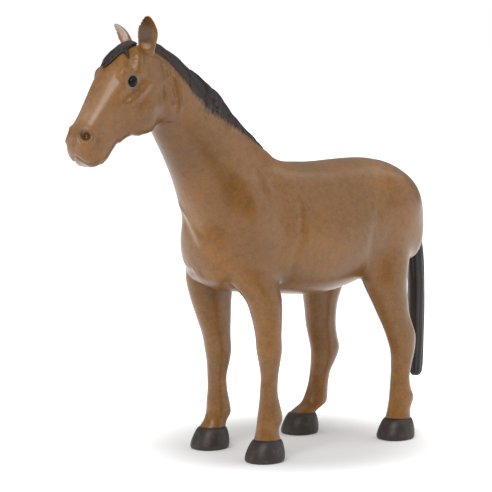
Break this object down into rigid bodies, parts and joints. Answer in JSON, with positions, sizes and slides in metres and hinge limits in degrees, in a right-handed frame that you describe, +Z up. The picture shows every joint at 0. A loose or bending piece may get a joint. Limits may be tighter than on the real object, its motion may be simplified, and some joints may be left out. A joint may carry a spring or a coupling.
{
  "type": "toy horse figure",
  "caption": "Standing toy farm horse: hollow moulded halves pinned along the mid-plane, with set-in mane, forelock, tail, hooves and glossy eyes. A rigid pose with no moving parts.",
  "frame": {"origin": "under the middle of the figure's box, on the surface that the hooves stand on", "axes": "+Z up; the horse faces -X with its tail at +X; its left side, the one that the picture shows, is -Y"},
  "size_m": [0.1589, 0.0428, 0.1512],
  "materials": {
    "brown_plastic": "satin mid-brown moulded plastic with a fine mottled grain",
    "charcoal_plastic": "satin charcoal, nearly black",
    "eye_gloss": "high-gloss black"
  },
  "bodies": {
    "root": {"body_left": "brown_plastic", "body_right": "brown_plastic", "mane": "charcoal_plastic", "forelock": "charcoal_plastic", "tail": "charcoal_plastic", "hoof_front_left": "charcoal_plastic", "hoof_front_right": "charcoal_plastic", "hoof_hind_left": "charcoal_plastic", "hoof_hind_right": "charcoal_plastic", "eye_left": "eye_gloss", "eye_right": "eye_gloss"}
  },
  "joints": []
}
